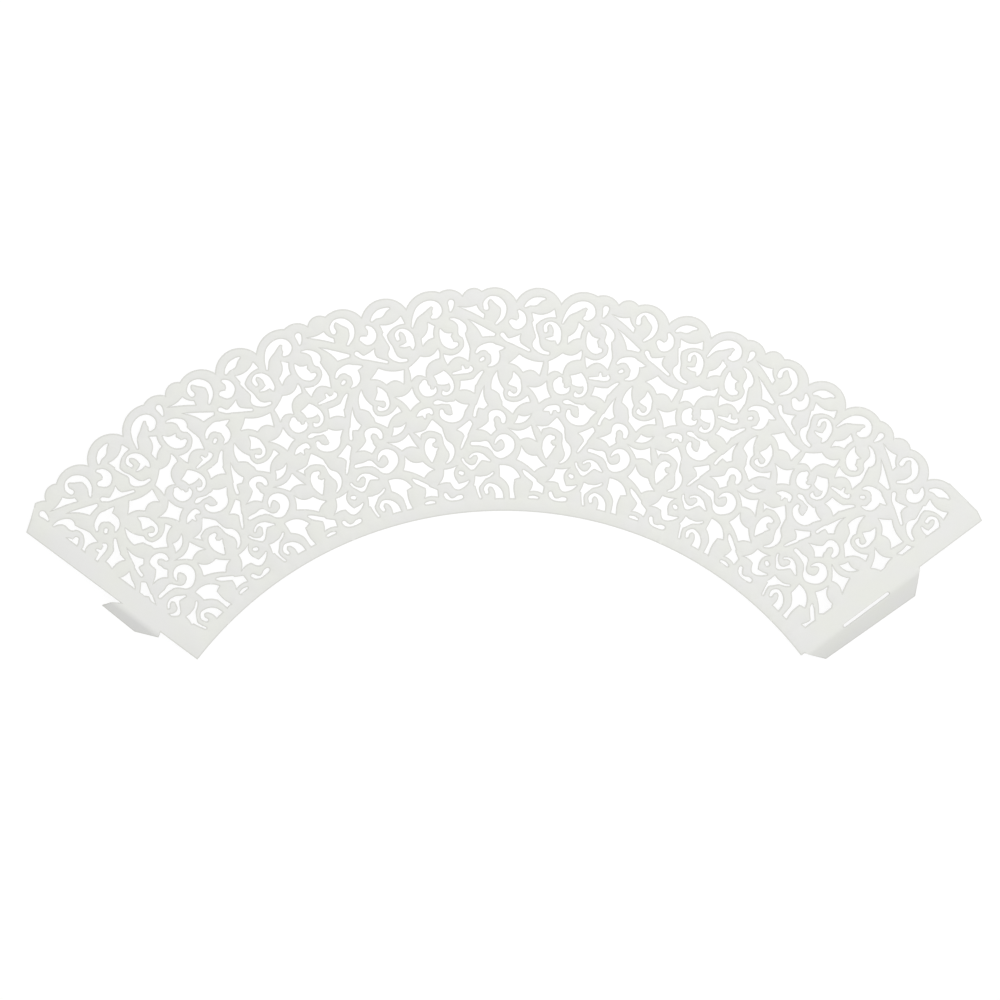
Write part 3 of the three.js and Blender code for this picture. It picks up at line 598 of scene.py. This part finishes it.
for side in (-1, 1):
    for i in range(RISE_STEPS + 1):
        angle = side * (FLAT_ANGLE + (END_ANGLE - FLAT_ANGLE) * i / RISE_STEPS)
        across = Vector((math.cos(angle), -math.sin(angle), 0))
        lay_edge((0, 0, 0), across, lambda c, side=side: side * c.x > 0)
    for i in range(BEND_STEPS + 2):
        out = BEND_RADIUS * i / BEND_STEPS
        place = beside_end(side, 0, out).to_3d()
        across = Vector((side * math.cos(END_ANGLE), -math.sin(END_ANGLE), 0))
        lay_edge(place, across, lambda c, side=side: out_from_end(side, c.x, c.y) > -BEND_REACH)
print("Flat sheet:", len(card_mesh.verts), "vertices,", len(card_mesh.faces), "faces")

thick = bmesh.ops.extrude_face_region(card_mesh, geom=card_mesh.faces[:])["geom"]
top = {v for v in thick if isinstance(v, bmesh.types.BMVert)}
rim = [v for v in top if any(e.other_vert(v) not in top for e in v.link_edges)]
bmesh.ops.translate(card_mesh, verts=list(top), vec=(0, 0, THICKNESS))
bmesh.ops.translate(card_mesh, verts=rim, vec=(0, 0, -EDGE_DROP))
bmesh.ops.recalc_face_normals(card_mesh, faces=card_mesh.faces[:])
pressed = set(rim)
for face in card_mesh.faces:
    corners = set(face.verts)
    at_cut = corners & pressed and (corners - top or corners - pressed)
    # Cut walls and pressed rim take the second material, whose darker colour is partly painted shade.
    face.material_index = CORE_WITH_PAINTED_SHADE if at_cut else COATED
print("Solid sheet:", len(card_mesh.verts), "vertices,", len(card_mesh.faces), "faces")

# %% [markdown]
# The tab and the flap prop the two ends up, and the middle stays down. Card bends only one way at a
# time, so the rise runs along straight lines to the fan's centre, as a cone does. Beyond the end line
# the two faces follow two arcs round one axis, and then go on straight, down to the table. Each vertex
# is moved by these rules, which are the CAD model's own. Only the bend is 0.55 mm rounder here, because
# the photograph shows it shaded softly.

# %% Rise of the ends and bends of tab and flap
END_RISE = 3.7
RISE_RADIUS = 104.0
CLEARANCE = 0.1


def rise(x, y):
    """Height of the card over the table."""
    past = max(0.0, abs(math.atan2(x, y)) - FLAT_ANGLE)
    return END_RISE * (math.hypot(x, y) / RISE_RADIUS) * (past / (END_ANGLE - FLAT_ANGLE)) ** 2


def bend_angle(side, outline):
    """Bend that brings the outer corners of a tab or flap down to just over the table."""
    angles = []
    for along, out in outline:
        if out > 2 * BEND_RADIUS:
            drop = rise(*beside_end(side, along, out)) - CLEARANCE
            root = math.sqrt(out**2 - (2 * BEND_RADIUS - drop) * drop)
            angles.append(2 * math.atan(drop / (out + root)))
    return min(angles)


def bent(out, radius, angle):
    """Height of one face of the bent card, whose arc has this radius."""
    if out <= 0:
        return radius - BEND_RADIUS
    end = radius * math.sin(angle)
    if out < end:
        return math.sqrt(radius**2 - out**2) - BEND_RADIUS
    return radius * math.cos(angle) - BEND_RADIUS - (out - end) * math.tan(angle)


bends = {-1: bend_angle(-1, TAB_OUTLINE), 1: bend_angle(1, FLAP_OUTLINE)}
for v in card_mesh.verts:
    side = 1 if v.co.x > 0 else -1
    out = out_from_end(side, v.co.x, v.co.y)
    lower = bent(out, BEND_RADIUS, bends[side])
    upper = bent(out, BEND_RADIUS + THICKNESS, bends[side])
    v.co.z = lower + (upper - lower) * v.co.z / THICKNESS + rise(v.co.x, v.co.y)
bmesh.ops.translate(card_mesh, verts=card_mesh.verts[:], vec=FAN_CENTRE.to_3d())
bmesh.ops.scale(card_mesh, verts=card_mesh.verts[:], vec=(MM, MM, MM))
print("Bends in degrees:", {side: round(math.degrees(angle), 1) for side, angle in bends.items()})

# %% [markdown]
# The cut walls meet the faces at a sharp angle, while the bends are round. Smooth shading is set on every
# face, and the edges where the surface turns hard are marked sharp, so that both look right. The
# extrusion stores its walls in an order that changes from run to run, so the faces are sorted by place.

# %% The wrapper's object
SHARP_ANGLE = math.radians(25)
SORT_WEIGHTS = (1, math.sqrt(2), math.sqrt(3))


def sort_key(face):
    """One number for the place of a face, which no two faces share."""
    return sum(weight * value for weight, value in zip(SORT_WEIGHTS, face.calc_center_median()))


card_mesh.faces.sort(key=sort_key)
for face in card_mesh.faces:
    face.smooth = True
for edge in card_mesh.edges:
    edge.smooth = len(edge.link_faces) == 2 and edge.calc_face_angle() < SHARP_ANGLE
data = bpy.data.meshes.new("wrapper_card")
card_mesh.to_mesh(data)
card_mesh.free()
wrapper = bpy.data.objects.new("wrapper_card", data)
scene.collection.objects.link(wrapper)
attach(wrapper, "root")
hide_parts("wrapper")
data.calc_loop_triangles()
print("Wrapper:", len(data.loop_triangles), "triangles")


# %% [markdown]
# Materials are built from nodes. Colours are written as sRGB hex values, as a picture editor shows them,
# while Blender's nodes count in linear light, so one function turns one into the other. A second small
# function adds a node, sets it up and links what it is given.

# %% Colours and nodes
def linear(hex_colour, alpha=1.0):
    """sRGB hex colour as the linear colour that nodes use."""
    channels = [int(hex_colour[i:i + 2], 16) / 255 for i in (1, 3, 5)]
    return tuple(c / 12.92 if c <= 0.04045 else ((c + 0.055) / 1.055) ** 2.4 for c in channels) + (alpha,)


def add_node(tree, kind, inputs=None, **settings):
    """Adds a node, sets it up, and fills or links its inputs."""
    node = tree.nodes.new(kind)
    for name, value in settings.items():
        setattr(node, name, value)
    for name, value in (inputs or {}).items():
        if isinstance(value, bpy.types.NodeSocket):
            tree.links.new(value, node.inputs[name])
        else:
            node.inputs[name].default_value = value
    return node


def new_material(name):
    """Empty node material, its tree and its output."""
    material = bpy.data.materials.new(name)
    material.use_nodes = True
    material.node_tree.nodes.clear()
    return material, material.node_tree, add_node(material.node_tree, "ShaderNodeOutputMaterial")


print("Card white in linear light:", [round(c, 3) for c in linear("#E9EAE6")])

# %% [markdown]
# The card is wood-pulp board of about 250 grams a square metre, with a thin pearl coat. It gives the eye
# three things: a soft white that drifts a little between warm and cool over some millimetres, a faint
# tooth of fibres well under a millimetre long, and a dull sheen with no clear reflection.

# %% Pearl card
CLOUD_SIZE = 9.0
CLOUD_EDGES = (0.35, 0.65)
FIBRE_SIZE = 0.45
FIBRE_HEIGHT = 0.01
FIBRE_STRENGTH = 0.25
COAT_ROUGHNESS = 0.62
CARD_IOR = 1.45

pearl_card, tree, output = new_material("pearl_card")
place = add_node(tree, "ShaderNodeTexCoord").outputs["Object"]
clouds = add_node(tree, "ShaderNodeTexNoise", {
    "Vector": place, "Scale": 1 / (CLOUD_SIZE * MM), "Detail": 2.0, "Roughness": 0.5})
tint = add_node(tree, "ShaderNodeValToRGB", {"Fac": clouds.outputs["Fac"]})
tint.color_ramp.elements[0].position = CLOUD_EDGES[0]
tint.color_ramp.elements[0].color = linear("#E9E9E7")
tint.color_ramp.elements[1].position = CLOUD_EDGES[1]
tint.color_ramp.elements[1].color = linear("#E9EAE4")
fibres = add_node(tree, "ShaderNodeTexNoise", {
    "Vector": place, "Scale": 1 / (FIBRE_SIZE * MM), "Detail": 3.0, "Roughness": 0.6})
tooth = add_node(tree, "ShaderNodeBump", {
    "Height": fibres.outputs["Fac"], "Strength": FIBRE_STRENGTH, "Distance": FIBRE_HEIGHT * MM})
surface = add_node(tree, "ShaderNodeBsdfPrincipled", {
    "Base Color": tint.outputs["Color"], "Normal": tooth.outputs["Normal"],
    "Roughness": COAT_ROUGHNESS, "IOR": CARD_IOR})
tree.links.new(surface.outputs["BSDF"], output.inputs["Surface"])
wrapper.data.materials.append(pearl_card)
print("Material:", pearl_card.name, "with", len(tree.nodes), "nodes")

# %% [markdown]
# The pearl coat ends at every cut. There the bare core of the card shows: matt, open pulp, pressed smooth
# on the slope and a little rough on the wall. Its colour is greyer than the coat, partly the core's own
# and partly painted shade for the thin dark line along every cut. It is the second material of the mesh,
# for the faces that were numbered as core with painted shade when the rim was pressed.

# %% Bare core and painted shade at the cuts
CORE_GRAIN = 0.12
CORE_ROUGHNESS = 0.85

core_with_painted_shade, tree, output = new_material("card_core_with_painted_shade")
place = add_node(tree, "ShaderNodeTexCoord").outputs["Object"]
grain = add_node(tree, "ShaderNodeTexNoise", {
    "Vector": place, "Scale": 1 / (CORE_GRAIN * MM), "Detail": 2.0, "Roughness": 0.6})
shades = add_node(tree, "ShaderNodeValToRGB", {"Fac": grain.outputs["Fac"]})
# Greyer than the coat: partly the core's own colour, partly painted shade along the cuts.
shades.color_ramp.elements[0].color = linear("#D9DAD5")
shades.color_ramp.elements[1].color = linear("#E2E2DD")
surface = add_node(tree, "ShaderNodeBsdfPrincipled", {
    "Base Color": shades.outputs["Color"], "Roughness": CORE_ROUGHNESS, "IOR": CARD_IOR})
tree.links.new(surface.outputs["BSDF"], output.inputs["Surface"])
wrapper.data.materials.append(core_with_painted_shade)
# Counts the faces of the core material with its painted shade.
print("Faces of bare core:", sum(face.material_index == CORE_WITH_PAINTED_SHADE for face in wrapper.data.polygons))

# %% [markdown]
# The card lies on a plain white table. To the light it is matt white paint, so it bounces light on the
# card as a real table does. To the camera it glows, which brings the open table to pure white, and only
# a small share of it is painted, so that the shadow under the card stays, but as a faint one. It is far
# wider than a real table, so that its edge lies far off in a low view.

# %% Table
TABLE_SIZE = 20.0
TABLE_GAP = 0.00002
TABLE_GLOW = 0.92
TABLE_SHADE = "#616161"

table_mesh = bmesh.new()
bmesh.ops.create_grid(table_mesh, x_segments=1, y_segments=1, size=TABLE_SIZE / 2)
bmesh.ops.translate(table_mesh, verts=table_mesh.verts[:], vec=(0, 0, -TABLE_GAP))
data = bpy.data.meshes.new("table")
table_mesh.to_mesh(data)
table_mesh.free()
table = bpy.data.objects.new("table", data)
scene.collection.objects.link(table)

white_table, tree, output = new_material("white_table")
paint = add_node(tree, "ShaderNodeBsdfDiffuse", {"Color": linear("#F2F2F2")})
shade = add_node(tree, "ShaderNodeBsdfDiffuse", {"Color": linear(TABLE_SHADE)})
glow = add_node(tree, "ShaderNodeEmission", {"Color": (1, 1, 1, 1), "Strength": TABLE_GLOW})
bright = add_node(tree, "ShaderNodeAddShader")
tree.links.new(shade.outputs[0], bright.inputs[0])
tree.links.new(glow.outputs[0], bright.inputs[1])
ray = add_node(tree, "ShaderNodeLightPath").outputs
seen = ray["Is Camera Ray"]
for kind in ("Is Glossy Ray", "Is Transmission Ray"):
    either = add_node(tree, "ShaderNodeMath", {0: seen, 1: ray[kind]}, operation="MAXIMUM")
    seen = either.outputs[0]
choice = add_node(tree, "ShaderNodeMixShader", {
    0: seen, 1: paint.outputs[0], 2: bright.outputs[0]})
tree.links.new(choice.outputs[0], output.inputs["Surface"])
table.data.materials.append(white_table)
print("Table:", TABLE_SIZE, "m square")

# %% [markdown]
# Light in a product photograph of white card is broad and soft. Most of it comes from white walls all
# round, which the world stands in for. A soft box close over the card falls off towards its ends, and a
# weak one beyond the far right corner gives the light a side. Places are in metres, powers in watts.

# %% Lamps and world
FAR_PLACE = (0.55, 0.75, 0.8)
FAR_SIZE = 0.5
FAR_POWER = 0.9
OVER_PLACE = (0.06, 0.13, 0.38)
OVER_SIZE = 0.3
OVER_POWER = 0.5
WALL_LIGHT = 0.71


def soft_box(name, place, size, power):
    """Square area lamp that faces the middle of the table."""
    lamp = bpy.data.lights.new(name, "AREA")
    lamp.shape = "SQUARE"
    lamp.size = size
    lamp.energy = power
    holder = bpy.data.objects.new(name, lamp)
    holder.location = place
    holder.rotation_euler = (-Vector(place)).to_track_quat("-Z", "Y").to_euler()
    scene.collection.objects.link(holder)


soft_box("far_soft_box", FAR_PLACE, FAR_SIZE, FAR_POWER)
soft_box("over_soft_box", OVER_PLACE, OVER_SIZE, OVER_POWER)
world = bpy.data.worlds.new("white_room")
world.use_nodes = True
walls = world.node_tree.nodes["Background"]
walls.inputs["Color"].default_value = (1, 1, 1, 1)
walls.inputs["Strength"].default_value = WALL_LIGHT
scene.world = world
scene.view_settings.view_transform = "Standard"

# %% [markdown]
# The camera hangs some 80 cm over the table, nearly straight above, a touch to the far left. A long lens
# keeps the shape of the fan. Its focal length comes from how much of the table spans the picture.

# %% Camera
CAMERA_TURN = [math.radians(v) for v in (11.32, 4.65, -0.75)]
CAMERA_OFFSET = Vector((0.0018, 0.00543, -0.8188))
PIXELS_PER_RADIAN = 3623.1
PICTURE_WIDTH = 1000
NEAREST_SEEN = 0.05

lens = bpy.data.cameras.new("camera")
lens.lens = lens.sensor_width * PIXELS_PER_RADIAN / PICTURE_WIDTH
lens.clip_start = NEAREST_SEEN
camera = bpy.data.objects.new("camera", lens)
turn = Matrix.Identity(3)
for angle, axis in zip(CAMERA_TURN, "XYZ"):
    turn = turn @ Matrix.Rotation(angle, 3, axis)
camera.matrix_world = Matrix.LocRotScale(turn.transposed() @ -CAMERA_OFFSET, turn.transposed(), None)
scene.collection.objects.link(camera)
scene.camera = camera
print("Camera at", [round(v, 3) for v in camera.location], "lens", round(lens.lens, 1))

# %% [markdown]
# The script closes by bringing the view layer up to date.

# %% Finish
bpy.context.view_layer.update()
